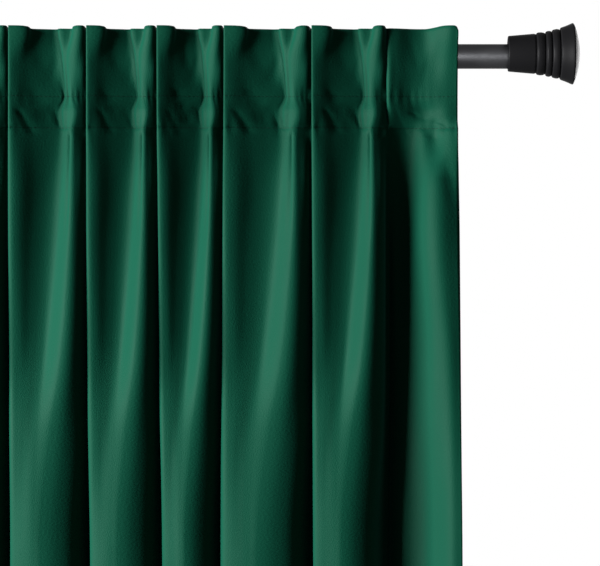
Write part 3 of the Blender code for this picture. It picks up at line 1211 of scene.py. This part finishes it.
@dataclass
class Studio:
    """Pale floor, white backdrop, three soft lights and a camera square to the curtain."""

    floor_z: float = -2.50
    floor_colour: str = "#E6E4E0"
    camera_x: float = 0.192
    camera_z: float = -0.2303
    camera_distance: float = 3.0
    cloth_front_y: float = -0.0500
    frame_width: float = 0.600
    sensor_mm: float = 36.0
    fill: float = 0.15
    backdrop_radius: float = 60.0
    # Each light: its place, its target, its width and height, and its power in watts.
    side_light: tuple = ((-2.85, -1.70, -0.2), (0.1, 0.0, -0.4), (1.8, 2.4), 800.0)
    front_light: tuple = ((0.6, -3.4, -0.25), (0.4, 0.0, 0.0), (2.2, 0.8), 250.0)
    rim_light: tuple = ((2.2, 3.0, 0.0), (0.47, 0.0, 0.0), (1.8, 1.2), 45.0)

    def floor(self) -> None:
        """Lay a plain pale floor."""
        bpy.ops.mesh.primitive_plane_add(size=40, location=(0, 0, self.floor_z))
        floor = bpy.context.object
        floor.name = "floor"
        material, _ = new_material("pale_floor", {
            "Base Color": linear(self.floor_colour), "Roughness": 0.9})
        floor.data.materials.append(material)
        floor.visible_diffuse = False
        floor.visible_glossy = False

    def backdrop(self) -> None:
        """Put a plain white backdrop far off all round, seen but giving no light."""
        bpy.ops.mesh.primitive_uv_sphere_add(segments=32, ring_count=16,
                                             radius=self.backdrop_radius)
        backdrop = bpy.context.object
        backdrop.name = "backdrop"
        material, _ = new_material("white_backdrop", {
            "Base Color": linear("#000000"), "Specular IOR Level": 0.0,
            "Emission Color": linear("#FFFFFF"), "Emission Strength": 1.0})
        backdrop.data.materials.append(material)
        backdrop.visible_diffuse = False
        backdrop.visible_glossy = False
        backdrop.visible_shadow = False

    def world(self) -> None:
        """Fill with even white light."""
        world = bpy.data.worlds.new("studio")
        world.use_nodes = True
        background = world.node_tree.nodes["Background"]
        background.inputs["Color"].default_value = linear("#FFFFFF")
        background.inputs["Strength"].default_value = self.fill
        bpy.context.scene.world = world

    def area_light(self, name: str, place: tuple, target: tuple, size: Pair,
                   watts: float) -> Item:
        """Add a soft light.

        Args:
            name: the light's name.
            place: where it stands.
            target: what it points at.
            size: its width and height.
            watts: its power.

        Returns:
            The light.
        """
        light = bpy.data.lights.new(name, "AREA")
        light.shape = "RECTANGLE"
        light.size, light.size_y = size
        light.energy = watts
        item = bpy.data.objects.new(name, light)
        item.location = place
        aim = Vector(target) - Vector(place)
        item.rotation_euler = aim.to_track_quat("-Z", "Y").to_euler()
        item.visible_camera = False
        bpy.context.scene.collection.objects.link(item)
        return item

    def lights(self, rod: Item) -> None:
        """Light the cloth from the left, the rod from the front, the finial from behind.

        Args:
            rod: the rod, which alone takes the front light.
        """
        self.area_light("side_light", *self.side_light)
        front = self.area_light("front_light", *self.front_light)
        front.visible_diffuse = False
        lit_from_front = bpy.data.collections.new("lit_from_front")
        lit_from_front.objects.link(rod)
        front.light_linking.receiver_collection = lit_from_front
        rim = self.area_light("rim_light", *self.rim_light)
        rim.visible_diffuse = False

    def camera(self) -> None:
        """Set the camera square to the cloth, with the photograph's frame."""
        data = bpy.data.cameras.new("camera")
        data.sensor_width = self.sensor_mm
        data.lens = self.sensor_mm * self.camera_distance / self.frame_width
        item = bpy.data.objects.new("camera", data)
        item.location = (self.camera_x, self.cloth_front_y - self.camera_distance, self.camera_z)
        item.rotation_euler = (math.pi / 2, 0.0, 0.0)
        bpy.context.scene.collection.objects.link(item)
        bpy.context.scene.camera = item

    def build(self, rod: Item) -> None:
        """Build the studio.

        Args:
            rod: the rod, which has a light of its own.
        """
        self.floor()
        self.backdrop()
        self.world()
        self.lights(rod)
        self.camera()
        bpy.context.scene.view_settings.view_transform = "Standard"


def main() -> None:
    """Build the cloth, the rod, the stitching and the studio."""
    logging.basicConfig(level=logging.INFO, format="%(message)s")
    velvet = CutPileVelvet().material()
    tab_cloth = CutPileVelvet(name="tab_velvet", bloom_weight=0.2).material()
    thread = PolyesterThread().material()
    coated_steel = PowderCoat().material()
    moulding = SatinMoulding().material()

    panel = CurtainPanel()
    cloth, patch = panel.build(velvet)
    pieces = [cloth]
    for name, z in (("stitches_upper_seam", panel.upper_seam_z),
                    ("stitches_lower_seam", panel.lower_seam_z),
                    ("stitches_bottom_hem", panel.hem_z + panel.hem_depth)):
        pieces.append(StitchRow(name, z).build(patch, thread))
        pieces.append(StitchRow(name + "_back", z).build(patch, thread, face=-1.0))

    # A tab stands behind each fold's valley, which is station 4 of the fold table.
    valley = panel.read(panel.fold_plans, -1, 0.0)[4][0]
    for number, (fold, following) in enumerate(zip(panel.folds, panel.folds[1:]), start=1):
        left = panel.across(fold, 0.0)
        right = panel.across(following, 0.0)
        pieces.append(BackTab(number, left + (right - left) * valley).build(tab_cloth))
    rod = CurtainRod().build(coated_steel)
    pieces.append(rod)
    finial = TrumpetFinial()
    pieces += [finial.build(side, moulding) for side in (-1.0, 1.0)]
    Studio().build(rod)
    for piece in pieces:
        LOG.info("%s: %d points", piece.name, len(piece.data.vertices))


if __name__ == "__main__":
    main()
